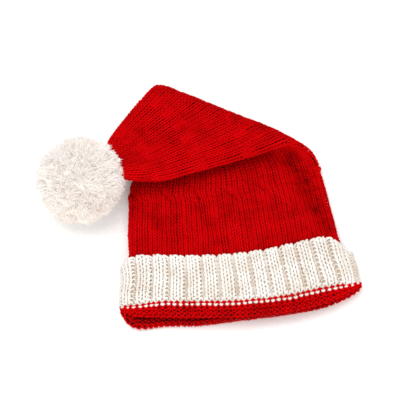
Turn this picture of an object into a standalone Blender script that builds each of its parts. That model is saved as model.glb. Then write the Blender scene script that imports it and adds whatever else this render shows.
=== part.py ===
# Knitted santa hat lying on its back: red bag, white ribbed turn-up and yarn pompom.
# Metres, floor at height 0, +Y from the mouth towards the fold, +X to the wearer's left, +Z up.
import math
import random
from collections import namedtuple

import bmesh
import bpy
from mathutils import Vector

MM = 0.001

# Named sizes of the real hat
HALF_WIDTH = 103 * MM
HAT_LENGTH = 351 * MM
BODY_DEPTH = 26 * MM
EDGE_DEPTH = 12 * MM
CROWN_WALL = 3.2 * MM
CUFF_WALL = 3.0 * MM
CUFF_GAP = 1.3 * MM
CLEARANCE = 0.4 * MM
SAG = 14.5 * MM
REST_AT = 95 * MM

# The turn-up round the mouth
CUFF_HEIGHT = 54 * MM
CUFF_RIBS = 28
RIB_DEPTH = 1.4 * MM
RIB_SCALLOP = 1.5 * MM
RIB_PHASE = 0.255
CUFF_STAND = 4.0 * MM
CUFF_CORNER_DROP = 5.0 * MM
HEM_LIP = 10.4 * MM
HEM_CLEARANCE = 2.0 * MM

# The diagonal fold of the top over the front
FOLD_AT = 206.5 * MM
FOLD_TILT = math.radians(-32.0)
FOLD_RADIUS = 11 * MM
FOLD_RADIUS_MORE = 3 * MM
FOLD_MIDDLE = 7.5 * MM
TAIL_RISE = 9 * MM

# The pompom on the tip
POMPOM_CENTRE = Vector((-143.4 * MM, 35.5 * MM, 39.5 * MM))
POMPOM_RADII = (43.0 * MM, 42.0 * MM, 40.5 * MM)
POMPOM_LOCK = 7.0 * MM
LOCKS_ACROSS = 4
LOCK_PARTING = 1.3 * MM
LOCK_UNEVEN = 0.055

# Shape of the section: how square its ends are and how much of its underside lies flat
SQUARENESS = 3.0
UNDERSIDE_FLAT = 1.25
AROUND = 48

# One row per section of the unfolded hat, from the mouth to the tip. "along" is a share of HAT_LENGTH,
# "left" and "right" are shares of HALF_WIDTH, "depth" of BODY_DEPTH, "edge" of EDGE_DEPTH, "lift" of the
# cuff's thickness below the bag, "sag" of SAG, and "belly", how far the back swells, of BODY_DEPTH.
Section = namedtuple("Section", "along left right depth edge lift sag belly")
SECTIONS = [
    Section(0.000, 1.100, 1.100, 0.84, 0.98, 1.0, 1.00, 0.00),
    Section(0.050, 1.085, 1.085, 0.88, 1.01, 1.0, 1.00, 0.00),
    Section(0.100, 1.040, 1.040, 0.95, 1.05, 1.0, 1.00, 0.00),
    Section(0.165, 1.005, 0.997, 1.00, 1.05, 1.0, 1.00, 0.00),
    Section(0.225, 0.995, 0.987, 0.96, 1.00, 0.0, 1.00, 0.00),
    Section(0.250, 0.985, 0.977, 0.93, 1.00, 0.0, 1.00, 0.00),
    Section(0.300, 0.960, 0.962, 0.86, 1.00, 0.0, 1.05, 0.00),
    Section(0.360, 0.935, 0.940, 0.78, 1.00, 0.0, 1.05, 0.00),
    Section(0.405, 0.905, 0.918, 0.72, 1.00, 0.0, 1.05, 0.00),
    Section(0.430, 0.880, 0.885, 0.68, 1.00, 0.0, 1.05, 0.00),
    Section(0.480, 0.805, 0.805, 0.62, 1.00, 0.0, 1.00, 0.00),
    Section(0.520, 0.750, 0.750, 0.60, 1.00, 0.0, 1.00, 0.00),
    Section(0.585, 0.655, 0.690, 0.58, 1.00, 0.0, 0.90, 0.00),
    Section(0.650, 0.560, 0.625, 0.58, 1.00, 0.0, 0.80, 0.05),
    Section(0.720, 0.475, 0.545, 0.58, 1.00, 0.0, 0.70, 0.12),
    Section(0.775, 0.410, 0.480, 0.58, 1.00, 0.0, 0.60, 0.14),
    Section(0.830, 0.335, 0.400, 0.60, 1.05, 0.0, 0.45, 0.10),
    Section(0.880, 0.260, 0.300, 0.62, 1.15, 0.0, 0.35, 0.04),
    Section(0.930, 0.175, 0.210, 0.60, 1.15, 0.0, 0.20, 0.00),
    Section(0.970, 0.130, 0.145, 0.55, 1.10, 0.0, 0.10, 0.00),
    Section(1.000, 0.085, 0.085, 0.45, 1.00, 0.0, 0.00, 0.00),
]

# The mouth's edge from the hat's left end to its right end: "side" is a share of the half width, "front"
# and "back" are how far each layer's edge reaches past the ends, as shares of SAG.
MouthEdge = namedtuple("MouthEdge", "side front back")
MOUTH = [
    MouthEdge(-1.00, 0.00, 0.00),
    MouthEdge(-0.94, 0.26, 0.52),
    MouthEdge(-0.87, 0.42, 0.92),
    MouthEdge(-0.68, 0.70, 0.95),
    MouthEdge(-0.35, 1.08, 1.17),
    MouthEdge(-0.10, 1.30, 1.13),
    MouthEdge(0.10, 1.38, 1.10),
    MouthEdge(0.30, 1.36, 1.08),
    MouthEdge(0.60, 1.10, 0.93),
    MouthEdge(0.88, 0.48, 0.42),
    MouthEdge(1.00, 0.00, 0.00),
]
MOUTH_REACH = 50 * MM

# Dents and swellings, each a soft groove along a straight line on the unfolded hat. "side" is a share of
# HALF_WIDTH, "along" of HAT_LENGTH, "depth" and "reach" of EDGE_DEPTH; a negative depth is a swelling.
Dent = namedtuple("Dent", "layer side_from along_from side_to along_to depth reach")
DENTS = [
    Dent("front", 0.88, 0.150, 0.78, 0.420, 0.46, 0.80),
    Dent("front", -0.64, 0.330, -0.62, 0.230, 0.24, 0.55),
    Dent("front", -0.30, 0.310, -0.08, 0.180, 0.28, 0.60),
    Dent("front", 0.03, 0.305, 0.12, 0.220, -0.16, 0.80),
    Dent("front", -0.90, 0.400, -0.93, 0.200, -0.06, 0.60),
    Dent("back", -0.30, 0.700, -0.22, 0.760, 0.16, 1.00),
    Dent("back", 0.02, 0.690, -0.06, 0.780, 0.14, 1.10),
    Dent("back", 0.20, 0.850, 0.10, 0.830, 0.18, 0.90),
]

# Stretches of the hat and how many rings of points cross each of them, from the mouth to the tip
Stretch = namedtuple("Stretch", "start end rings")
STRETCHES = [
    Stretch(0.157, 0.500, 10),
    Stretch(0.500, 0.680, 9),
    Stretch(0.680, 1.000, 8),
]

# The turn-up's sides from its lower end to its top: share of its height and share of CUFF_STAND
CuffRing = namedtuple("CuffRing", "up stand")
CUFF_RINGS = [
    CuffRing(0.00, 0.00),
    CuffRing(0.33, 0.05),
    CuffRing(0.66, 0.30),
    CuffRing(0.92, 0.85),
    CuffRing(1.00, 1.00),
]

# Where the slant of the rings starts and stops, so that they run along the fold
SLANT_STARTS = 70 * MM
SLANT_FULL = 170 * MM
SLANT_ENDS = 240 * MM
SLANT_GONE = 345 * MM


def clear_start_file():
    """Remove everything that the start-up file holds."""
    for item in list(bpy.data.objects):
        bpy.data.objects.remove(item, do_unlink=True)


def ease(value):
    """Soft step from 0 to 1 as the value goes from 0 to 1."""
    value = min(max(value, 0.0), 1.0)
    return value * value * (3 - 2 * value)


def smooth_curve(points, place):
    """Height of a curve through the points that never overshoots them."""
    places = [point[0] for point in points]
    heights = [point[1] for point in points]
    place = min(max(place, places[0]), places[-1])
    steps = [places[i + 1] - places[i] for i in range(len(places) - 1)]
    slopes = [(heights[i + 1] - heights[i]) / steps[i] for i in range(len(steps))]
    turns = [slopes[0]]
    for i in range(1, len(steps)):
        if slopes[i - 1] * slopes[i] <= 0:
            turns.append(0.0)
        else:
            first = 2 * steps[i] + steps[i - 1]
            second = steps[i] + 2 * steps[i - 1]
            turns.append((first + second) / (first / slopes[i - 1] + second / slopes[i]))
    turns.append(slopes[-1])
    i = 0
    while i < len(steps) - 1 and place > places[i + 1]:
        i += 1
    t = (place - places[i]) / steps[i]
    return (
        (1 + 2 * t) * (1 - t) ** 2 * heights[i]
        + t * (1 - t) ** 2 * steps[i] * turns[i]
        + t * t * (3 - 2 * t) * heights[i + 1]
        + t * t * (t - 1) * steps[i] * turns[i + 1]
    )


def section_value(name, along):
    """Value of a column of the section table at a distance from the mouth."""
    return smooth_curve([(row.along, getattr(row, name)) for row in SECTIONS], along / HAT_LENGTH)


def sag_at(along, side, front):
    """How far a point hangs back towards the mouth, from its place across the hat."""
    body = section_value("sag", along) * max(1 - side * side, 0.0) ** 1.5
    edge = smooth_curve([(row.side, row.front if front else row.back) for row in MOUTH], side)
    share = ease(along / MOUTH_REACH)
    return SAG * (edge * (1 - share) + body * share)


def dent_at(layer, across, along):
    """Depth of all the dents of a layer at a point of the unfolded hat."""
    total = 0.0
    for dent in DENTS:
        if dent.layer != layer:
            continue
        start = Vector((dent.side_from * HALF_WIDTH, dent.along_from * HAT_LENGTH))
        end = Vector((dent.side_to * HALF_WIDTH, dent.along_to * HAT_LENGTH))
        point = Vector((across, along))
        way = end - start
        share = min(max((point - start).dot(way) / way.length_squared, 0.0), 1.0)
        distance = (point - start - way * share).length / (dent.reach * EDGE_DEPTH)
        total += dent.depth * EDGE_DEPTH * math.exp(-distance * distance)
    return total


def shaped(value):
    """Sine or cosine drawn out into the section's squarer form."""
    return math.copysign(abs(value) ** (2 / SQUARENESS), value)


def unfolded_point(along, turn, inset=0.0, stand=0.0, slanted=True):
    """Point of the hat before its top is folded over. The turn goes round the section from its right end
    over the front; the inset goes into the wall; the stand widens the section sideways."""
    side = shaped(math.cos(turn))
    height = shaped(math.sin(turn))
    front = math.sin(turn) >= 0
    half_name = "right" if side > 0 else "left"
    place = along
    if slanted:
        slant = ease((along - SLANT_STARTS) / (SLANT_FULL - SLANT_STARTS))
        slant *= 1 - ease((along - SLANT_ENDS) / (SLANT_GONE - SLANT_ENDS))
        for _ in range(4):
            across = section_value(half_name, place) * HALF_WIDTH * side
            place = along + slant * math.tan(FOLD_TILT) * across
    half = section_value(half_name, place) * HALF_WIDTH
    across = (half - inset + stand) * side
    edge = section_value("edge", place) * EDGE_DEPTH
    lift = section_value("lift", place) * (CUFF_WALL + CUFF_GAP)
    bulge = max(1 - side * side, 0.0) ** 0.8
    if front:
        swell = section_value("depth", place) * BODY_DEPTH - lift - edge
        up = lift + inset + (edge - 2 * inset) / 2 * (1 + height) + swell * bulge
        shown = ease((place - CUFF_HEIGHT) / (12 * MM))
        up -= dent_at("front", half * side, place) * ease((1 - side * side) * 3) * shown
    else:
        belly = section_value("belly", place) * BODY_DEPTH
        up = lift + inset + max(0.0, (edge - 2 * inset) / 2 * (1 + UNDERSIDE_FLAT * height)) - belly * bulge
        up += dent_at("back", half * side, place) * bulge
    return Vector((across, place - sag_at(place, side, front), up))


def folded(point):
    """Carry a point of the unfolded hat round the diagonal fold and onto the front."""
    along_fold = Vector((math.cos(FOLD_TILT), math.sin(FOLD_TILT)))
    across_fold = Vector((-along_fold.y, along_fold.x))
    flat = Vector((point.x, point.y))
    run = flat.dot(along_fold)
    radius = FOLD_RADIUS + FOLD_RADIUS_MORE * ease((run - FOLD_AT * along_fold.y - 20 * MM) / (80 * MM))
    start = FOLD_AT * across_fold.y - radius - FOLD_MIDDLE
    past = flat.dot(across_fold) - start
    if past <= 0:
        return Vector((point.x, point.y, max(point.z, 0.0)))
    angle = min(past / radius, math.pi)
    extra = max(past - math.pi * radius, 0.0)
    reach = radius - (point.z - FOLD_MIDDLE)
    place = start + reach * math.sin(angle) - extra
    up = FOLD_MIDDLE + radius - reach * math.cos(angle) + TAIL_RISE * ease((extra - 30 * MM) / (80 * MM))
    spot = along_fold * run + across_fold * place
    return Vector((spot.x, spot.y, max(up, 0.0)))


def hat_point(along, turn, inset=0.0, stand=0.0, slanted=True):
    """Point of the hat as it lies, in the part's own frame."""
    point = folded(unfolded_point(along, turn, inset, stand, slanted))
    point.y -= REST_AT
    return point


def even_turns(shares, along, edge_weight):
    """Turns at which the given shares of the way round a section are reached, starting at the right end."""
    fine = 720
    steps = [0.0]
    previous = None
    for i in range(fine + 1):
        turn = 2 * math.pi * i / fine
        point = unfolded_point(along, turn, slanted=False)
        if previous is not None:
            step = math.hypot(point.x - previous.x, (point.z - previous.z) * edge_weight)
            steps.append(steps[-1] + step)
        previous = point
    turns = []
    i = 0
    for share in shares:
        wanted = share * steps[-1]
        while i < fine - 1 and steps[i + 1] < wanted:
            i += 1
        part = (wanted - steps[i]) / max(steps[i + 1] - steps[i], 1e-12)
        turns.append(2 * math.pi * (i + part) / fine)
    return turns


def loft(name, rings, capped):
    """Closed body through rings of points. Capped closes its two ends; if not, the last ring meets the first."""
    mesh = bmesh.new()
    rows = [[mesh.verts.new(point) for point in ring] for ring in rings]
    count = len(rows[0])
    pairs = list(zip(rows, rows[1:]))
    if not capped:
        pairs.append((rows[-1], rows[0]))
    for lower, upper in pairs:
        for i in range(count):
            j = (i + 1) % count
            mesh.faces.new((lower[i], lower[j], upper[j], upper[i]))
    if capped:
        mesh.faces.new(list(reversed(rows[0])))
        mesh.faces.new(rows[-1])
    bmesh.ops.recalc_face_normals(mesh, faces=mesh.faces)
    bmesh.ops.triangulate(mesh, faces=mesh.faces)
    data = bpy.data.meshes.new(name)
    mesh.to_mesh(data)
    mesh.free()
    return bpy.data.objects.new(name, data)


def wool(name, colour, roughness):
    """Plain wool colour for one piece."""
    material = bpy.data.materials.new(name)
    material.use_nodes = True
    shader = material.node_tree.nodes["Principled BSDF"]
    shader.inputs["Base Color"].default_value = (*colour, 1.0)
    shader.inputs["Roughness"].default_value = roughness
    return material


def add(item, collection, material=None):
    """Link an object into a collection and give it its material."""
    collection.objects.link(item)
    if material is not None:
        item.data.materials.append(material)
    return item


def bag_turns():
    """Turns of the points round the bag, closer together at its side edges."""
    return even_turns([i / AROUND for i in range(AROUND)], 0.3 * HAT_LENGTH, 4.5)


def bag_stations():
    """Distances from the mouth at which rings of points cross the bag, in step with the turn-up's rings."""
    stations = [cuff_place(row.up) for row in CUFF_RINGS if 0 < row.up < 1]
    stations.append(STRETCHES[0].start * HAT_LENGTH)
    for stretch in STRETCHES:
        for i in range(stretch.rings):
            share = stretch.start + (stretch.end - stretch.start) * (i + 1) / stretch.rings
            stations.append(share * HAT_LENGTH)
    return stations


def build_crown():
    """Red bag: up its outside from the hem's lip to the tip, then back down its inside to the hem."""
    turns = bag_turns()
    stations = bag_stations()
    lip_out = -(CUFF_GAP + CUFF_WALL)
    inside = [place for place in reversed(stations) if place < HAT_LENGTH - 2.5 * CROWN_WALL]
    profile = [(place, CROWN_WALL) for place in inside]
    profile.append((HEM_LIP * 0.25, CROWN_WALL))
    profile.append((-0.2 * MM, CROWN_WALL * 0.55))
    profile.append((-1.2 * MM, 0.0))
    profile.append((-0.2 * MM, lip_out * 0.75))
    profile.append((HEM_LIP * 0.25, lip_out))
    profile.append((HEM_LIP, lip_out))
    profile.append((HEM_LIP, CUFF_GAP / 2))
    profile.extend((place, CUFF_GAP / 2 if place < CUFF_HEIGHT else 0.0) for place in stations)
    rings = [[hat_point(place, turn, inset) for turn in turns] for place, inset in profile]
    return loft("crown", rings, True)


def rib_layout():
    """Shares of the way round at the corners of the ribs, and how far each stands above the valleys."""
    shares = []
    heights = []
    for rib in range(CUFF_RIBS):
        for offset, height in ((-0.15, 0.0), (0.12, 0.0), (0.27, 1.0), (0.70, 1.0)):
            share = (rib + offset + RIB_PHASE) / CUFF_RIBS
            shares.append(share % 1.0)
            heights.append(height)
    order = sorted(range(len(shares)), key=lambda i: shares[i])
    return [shares[i] for i in order], [heights[i] for i in order]


def cuff_place(up):
    """Distance from the mouth of a point of the turn-up, from its share of the height."""
    return HEM_LIP + HEM_CLEARANCE + up * (CUFF_HEIGHT - HEM_LIP)


def cuff_point(up, turn, depth, stand, rib):
    """Point of the turn-up: up from its lower end, depth outwards from the bag's outside."""
    side = shaped(math.cos(turn))
    along = cuff_place(up)
    along += RIB_SCALLOP * (rib - 0.5) * ease((up - 0.6) / 0.4)
    along -= CUFF_CORNER_DROP * ease((abs(side) - 0.86) / 0.14) * up
    return hat_point(along, turn, -depth, stand * CUFF_STAND * abs(side) ** 3)


def build_cuff():
    """White turn-up: its ribbed outside up to the scalloped edge, then down its smooth inside."""
    shares, heights = rib_layout()
    turns = even_turns(shares, 0.09 * HAT_LENGTH, 0.5)
    outer = CUFF_GAP + CUFF_WALL
    rings = []
    for row in CUFF_RINGS:
        ribbed = row.up < 0.97
        ring = []
        for turn, height in zip(turns, heights):
            floor_share = ease((-shaped(math.sin(turn)) - 0.6) / 0.2)
            valley = RIB_DEPTH * (1 - height) * (1 - floor_share)
            depth = outer - valley if ribbed else outer - 0.35 * CUFF_WALL - valley * 0.5
            ring.append(cuff_point(row.up, turn, depth, row.stand, height))
        rings.append(ring)
    for row in reversed(CUFF_RINGS):
        if row.up > 0.97:
            continue
        corners = zip(turns, heights)
        rings.append([cuff_point(row.up, turn, CUFF_GAP, row.stand, height) for turn, height in corners])
    return loft("cuff", rings, False)


def build_pompom(cutters):
    """Yarn ball: a head whose faces are drawn out into locks, flat where it rests, open for the tip."""
    rng = random.Random(11)
    mesh = bmesh.new()
    bmesh.ops.create_cube(mesh, size=2.0)
    bmesh.ops.subdivide_edges(mesh, edges=mesh.edges, cuts=LOCKS_ACROSS - 1, use_grid_fill=True)
    for vert in mesh.verts:
        spread = Vector([math.tan(value * math.pi / 4) for value in vert.co])
        lean = Vector([rng.uniform(-1.0, 1.0) for _ in range(3)]) * LOCK_UNEVEN
        way = (spread.normalized() + lean).normalized()
        vert.co = Vector([way[i] * (POMPOM_RADII[i] - POMPOM_LOCK) for i in range(3)])
    faces = list(mesh.faces)
    rng.shuffle(faces)
    for face in faces:
        drawn = POMPOM_LOCK * rng.uniform(0.55, 1.15)
        parting = LOCK_PARTING * rng.uniform(0.7, 1.4)
        bmesh.ops.inset_individual(mesh, faces=[face], thickness=parting, depth=drawn)
    bmesh.ops.recalc_face_normals(mesh, faces=mesh.faces)
    bmesh.ops.triangulate(mesh, faces=mesh.faces)
    data = bpy.data.meshes.new("pompom")
    mesh.to_mesh(data)
    mesh.free()
    ball = bpy.data.objects.new("pompom", data)
    ball.location = POMPOM_CENTRE
    turns = bag_turns()
    places = [place for place in bag_stations() if place > 0.78 * HAT_LENGTH]
    rings = [[hat_point(place, turn, -CLEARANCE) for turn in turns] for place in places]
    beyond = (rings[-1][0] + rings[-1][AROUND // 2]) / 2 - (rings[-2][0] + rings[-2][AROUND // 2]) / 2
    rings.append([point + beyond.normalized() * CLEARANCE for point in rings[-1]])
    tip = add(loft("tip_socket", rings, True), cutters)
    bpy.ops.mesh.primitive_cube_add(size=0.2, location=(POMPOM_CENTRE.x, POMPOM_CENTRE.y, -0.1))
    floor = bpy.context.object
    floor.name = "floor_below"
    for other in list(floor.users_collection):
        other.objects.unlink(floor)
    add(floor, cutters)
    for cutter in (floor, tip):
        cut = ball.modifiers.new(cutter.name, "BOOLEAN")
        cut.operation = "DIFFERENCE"
        cut.solver = "EXACT"
        cut.object = cutter
    return ball


def main():
    """Build the hat's three pieces."""
    clear_start_file()
    scene = bpy.context.scene
    hat = bpy.data.collections.new("santa_hat")
    scene.collection.children.link(hat)
    cutters = bpy.data.collections.new("cutters")
    scene.collection.children.link(cutters)
    cutters.hide_render = True
    red = wool("red_wool", (0.45, 0.002, 0.004), 0.85)
    white = wool("white_wool", (0.80, 0.74, 0.66), 0.9)
    yarn = wool("white_yarn", (0.86, 0.80, 0.73), 0.9)
    add(build_crown(), hat, red)
    add(build_cuff(), hat, white)
    add(build_pompom(cutters), hat, yarn)
    for cutter in cutters.objects:
        cutter.display_type = "WIRE"
        cutter.hide_render = True


main()
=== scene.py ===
# Knitted santa hat lying on its back: every visible stitch and yarn end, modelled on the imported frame.
# Metres, floor at height 0, +Y from the mouth towards the fold, +Z up.
import math

from collections import namedtuple

import bmesh
import bpy
import numpy as np
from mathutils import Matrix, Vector


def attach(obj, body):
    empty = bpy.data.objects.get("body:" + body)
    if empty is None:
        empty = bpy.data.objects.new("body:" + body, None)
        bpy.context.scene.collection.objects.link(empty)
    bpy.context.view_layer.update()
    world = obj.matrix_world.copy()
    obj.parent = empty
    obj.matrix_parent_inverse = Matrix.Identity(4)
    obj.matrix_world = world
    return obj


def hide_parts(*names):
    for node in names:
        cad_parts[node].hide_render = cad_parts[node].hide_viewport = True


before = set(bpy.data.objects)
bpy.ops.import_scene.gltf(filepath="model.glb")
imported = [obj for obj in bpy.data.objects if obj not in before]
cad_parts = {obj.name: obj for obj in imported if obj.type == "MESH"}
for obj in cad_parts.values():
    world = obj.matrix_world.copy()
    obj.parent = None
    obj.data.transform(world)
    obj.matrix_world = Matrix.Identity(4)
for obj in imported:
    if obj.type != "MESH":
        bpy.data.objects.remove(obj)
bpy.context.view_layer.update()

MM = 0.001
TINY = 1e-12

# Named sizes of the hat, the same as in the part's source
HALF_WIDTH = 103 * MM
HAT_LENGTH = 351 * MM
BODY_DEPTH = 26 * MM
EDGE_DEPTH = 12 * MM
CUFF_WALL = 3.0 * MM
CUFF_GAP = 1.3 * MM
SAG = 14.5 * MM
REST_AT = 95 * MM
CUFF_HEIGHT = 54 * MM
CUFF_STAND = 4.0 * MM
RIB_PHASE = 0.255
MOUTH_REACH = 50 * MM
FOLD_AT = 206.5 * MM
FOLD_TILT = math.radians(-32.0)
FOLD_RADIUS = 11 * MM
FOLD_RADIUS_MORE = 3 * MM
FOLD_MIDDLE = 7.5 * MM
TAIL_RISE = 9 * MM
SQUARENESS = 3.0
UNDERSIDE_FLAT = 1.25
POMPOM_CENTRE = np.array([-143.4 * MM, 35.5 * MM, 39.5 * MM])
POMPOM_RADII = np.array([43.0 * MM, 42.0 * MM, 40.5 * MM])

# The fold: where its radius grows and its line bulges, measured along it, and where the tail starts to rise
WIDER_FROM = 20 * MM
WIDER_OVER = 80 * MM
FOLD_BULGE = 2.5 * MM
BULGE_AT = -65 * MM
BULGE_REACH = 35 * MM
RISE_FROM = 30 * MM
RISE_OVER = 80 * MM

# How the sag and the swell round off towards the hat's edges, and over what the dents fade out
SAG_POWER = 1.5
SWELL_POWER = 0.8
DENTS_OVER = 12 * MM
DENT_EDGE_FADE = 3

# How the fabric turns at the mouth, from the bag's wall to the turn-up's, by distance along the fabric:
# positive up the bag, negative up the turn-up
HEM_RADIUS = 2.2 * MM
HEM_MIDDLE = -0.6 * MM
HEM_CENTRE = 1.0 * MM
QUARTER_HEM = HEM_RADIUS * math.pi / 2
COLOUR_CHANGE = -11.0 * MM
CUFF_TOP = -56.2 * MM

# The turn-up: its corners drop and pull in from these shares of the half width, and its ribs flatten out
# on the floor and at the right edge
CORNER_DROP = 8.5 * MM
LEFT_CORNER = 0.90
RIGHT_CORNER = 0.80
RIGHT_CORNER_MORE = 10.0 * MM
UP_LIMIT = 1.2
STAND_POWER = 3
RIGHT_MORE_FROM = 0.84
RIGHT_MORE_OVER = 0.16
CORNER_PULL = 5.0 * MM
PULL_FROM = 0.62
PULL_STARTS = 11 * MM
PULL_ENDS = 38 * MM
PULL_FADES = 24 * MM
RIB_RISE = 0.7 * MM
RIB_VALLEY = 2.15 * MM
RIB_SCALLOP = 1.6 * MM
RELIEF_FROM = 1 * MM
RELIEF_COURSES = 3
RIBS_START = 0.3
RIBS_OVER = 2.0
SCALLOP_FROM = 0.6
VALLEY_HALF = 0.05
RIB_SLOPE = 0.17
FLOOR_FROM = 0.6
FLOOR_OVER = 0.2
EDGE_SMOOTHING = 0.75
SMOOTH_EDGE_FROM = 0.93
SMOOTH_EDGE_OVER = 0.05
LADDER_WIDTH = 0.26
# Painted shade on the purl columns in the ribs' valleys
VALLEY_PAINTED_SHADE = -0.28

# Columns of stitches round the hat and courses along it
STITCHES = 84
STITCHES_PER_RIB = 3
SECTORS = 12
STITCH_SHIFT = STITCHES_PER_RIB * RIB_PHASE - 0.5
COURSE_HEIGHT = 3.5 * MM
CUFF_COURSE_HEIGHT = 3.55 * MM
TIP_MARGIN = 1.5 * MM
CAST_ON_FROM_TOP = 0.25
LAST_RIB_FROM_TOP = 0.62
HIDDEN_FROM = 26 * MM
HIDDEN_TO = 47 * MM
YARN_SIDES = 5
YARN_FLOOR = 0.1 * MM
LOOP_REACH = 0.93
LOOP_DEPTH = 0.80 * MM
LOOP_JOIN = 0.45 * math.pi
KNITTING_SEED = 5

# Kinds of course: how far its loops reach and how deep they curl, as shares of LOOP_REACH and LOOP_DEPTH,
# how much they close and lean in over their stitch, the yarn's radius, and the points along a stitch
Course = namedtuple("Course", "reach depth close lean radius steps")
BAG_COURSE = Course(1.00, 1.0, 0.03, 0.205, 0.91 * MM, 10)
MOUTH_COURSE = Course(1.00, 1.6, 0.03, 0.110, 0.91 * MM, 10)
RED_EDGE = Course(1.00, 1.6, 0.03, 0.075, 1.38 * MM, 10)
WHITE_EDGE = Course(1.00, 1.6, 0.00, 0.075, 1.38 * MM, 12)
RIB_COURSE = Course(1.00, 0.9, 0.00, 0.205, 1.12 * MM, 12)
CAST_ON = Course(0.35, 0.5, 0.03, 0.205, 1.12 * MM, 12)

# Stretches of the bag knitted as one piece each, by distance along the fabric
Stretch = namedtuple("Stretch", "name start end")
STRETCHES = [
    Stretch("crown_mouth", -20 * MM, HIDDEN_FROM),
    Stretch("crown_body", HIDDEN_TO, 112 * MM),
    Stretch("crown_upper", 112 * MM, 190 * MM),
    Stretch("crown_tail", 190 * MM, 400 * MM),
]

# Unevenness of hand knitting: of whole columns, of single loops and of the wool's colour
COLUMN_SEED = 8
COLUMN_LIMIT = 1.6
COLUMN_WAVE = 70 * MM
HEIGHT_WAVE = 1.3
WALE_UNEVEN = 0.13
WALE_STAND = 0.32 * MM
CUFF_WALE_SHARE = 0.6
CUFF_STAND_SHARE = 0.5
LENGTH_UNEVEN = 0.05
PLACE_UNEVEN = 0.16 * MM
HEIGHT_UNEVEN = 0.10 * MM
SIDE_UNEVEN = 0.03
RED_UNEVEN = 0.05
WHITE_UNEVEN = 0.03

# Decreases: rounds in which each of the sectors draws its last two columns into one
DECREASE_FIRST = 131 * MM
DECREASE_STEP = 45 * MM
DECREASE_ROUNDS = 6
DECREASE_EASE = 15 * MM
DECREASE_RAISE = 0.7 * MM
DECREASE_MEETS = 1.4

# Puckers at the decreases. Places and widths are in lengths of PUCKER_REACH, heights in depths of
# PUCKER_DEPTH. The first round's are deeper, apart from the sector beside the right edge.
PUCKER_DEPTH = 0.55 * MM
PUCKER_REACH = 6.5 * MM
PUCKER_ROWS = 4
PUCKER_SLANT = 0.65
FIRST_PUCKERS = 4.5
SMOOTH_SECTOR = 0
PUCKER_FROM_END = 0.7
HOLLOW_BESIDE = 0.6
HOLLOW_BELOW = 1.1
HOLLOW_SHARPNESS = 20
RIDGE_BESIDE = 0.75
RIDGE_SHARPNESS = 4
RIDGE_HEIGHT = 0.3
SWELLING_BESIDE = 0.3
SWELLING_ABOVE = 0.4
SWELLING_SHARPNESS = 1.6
SWELLING_SHARPNESS_UP = 1.2
SWELLING_HEIGHT = 0.8

# Painted shade: how much darker the red wool is painted in the deepest creases, and how much of that
# painted shade the dents have
CREASE_PAINTED_SHADE = 0.42
DENT_SHADE = 0.9

# Thin sheets behind the stitches, on one in so many of the rows and columns of the fabric's grid
BACKING_DEPTH = 1.0 * MM
BACKING_TURN = 6 * MM
BACKING_ROWS = 3
BACKING_COLUMNS = 6
BACKING_FLOOR = 0.4 * MM
RED_BACKING_MORE = 2 * MM
WHITE_BACKING_MORE = 1 * MM
BACKING_BELOW_TOP = 1.2 * MM

# The pompom's cut yarn ends. Reaches are shares of its radii, and directions start at its centre.
POMPOM_SEED = 3
YARN_ENDS = 11600
TUFTS = 320
TUFT_REACH = 1.02
TUFT_PULL_LEAST = 0.05
TUFT_PULL_MOST = 0.32
TUFT_SWIRL = 0.09
TUFT_SHORTEST = -0.06
TUFT_LONGEST = 0.03
TUFT_TINT = 0.05
ROOT_REACH = 0.78
ROOT_SCATTER = 0.02
TIP_SCATTER = 0.03
END_UNEVEN = 0.016
END_BEND = 0.03
END_TINT = 0.06
FULLER_WAY = np.array([-0.35, 0.75, 0.45])
FULLER_REACH = 0.03
STRAY_FROM = 0.96
STRAY_REACH = 0.05
# Painted warm shade on the yarn ends that face the front and down, towards the yarn's peach shade colour
POMPOM_SHADE_WAY = np.array([0.1, -0.85, -0.3])
POMPOM_SHADE_FROM = 0.1
POMPOM_PAINTED_SHADE = 0.30
END_SHARES = np.array([0.0, 0.45, 0.82, 1.0])
END_THICKNESS = np.array([0.48, 0.45, 0.34, 0.12]) * MM
END_SIDES = 3
END_SQUARE_TO = [0.3, 0.5, 0.81]
END_FLOOR = 0.6 * MM
MIDDLE_REACH = 0.84
MIDDLE_SUBDIVISIONS = 4

# Looks of the wools. "shade" is the colour of their darker random patches and of the painted shade in
# crease hollows, rib valleys and the pompom's lower front, and "deepest" the share of it that is left in
# the painted shade of the deepest crease hollows.
Look = namedtuple("Look", "colour shade sheen sheen_colour bump specular deepest")
RED_WOOL = Look((0.53, 0.0006, 0.0018), (0.34, 0.0003, 0.0008), 0.1, (1.0, 0.0, 0.0), 0.35, 0.02, 0.45)
WHITE_WOOL = Look((0.77, 0.742, 0.706), (0.62, 0.54, 0.462), 0.1, (1.0, 0.98, 0.95), 0.30, 0.15, 0.95)
WHITE_YARN = Look((0.91, 0.899, 0.887), (0.905, 0.85, 0.80), 0.0, (1.0, 0.98, 0.95), 0.05, 0.15, 0.95)
# Colours of the sheets behind the stitches: painted shade seen in the gaps between them
RED_GAP_SHADE = (0.06, 0.0002, 0.0004)
WHITE_GAP_SHADE = (0.66, 0.55, 0.45)
YARN_INNER = (0.95, 0.90, 0.86)
FLOOR_COLOUR = (1.0, 1.0, 1.0)
WOOL_ROUGHNESS = 0.85
SHEEN_ROUGHNESS = 0.5
FIBRE_SCALE = 900.0
FIBRE_DETAIL = 3.0
PATCH_SCALE = 60.0
PATCH_DETAIL = 2.0
TWIST_LENGTH = 3.2 * MM
TWIST_RELIEF = 0.25
RELIEF_DEPTH = 0.3 * MM
SHADE_AT = 0.12
COLOUR_AT = 0.56
PLAIN_ROUGHNESS = 0.9
PLAIN_SPECULAR = 0.1
PLAIN_PATCH_SCALE = 300.0
PLAIN_SHADE = 0.85
YARN_LIGHT_THROUGH = (0.925, 0.908, 0.892)
YARN_THROUGH_SHARE = 0.45
YARN_GLOW_COLOUR = (1.0, 0.95, 0.92)
YARN_GLOW = 0.12

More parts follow.
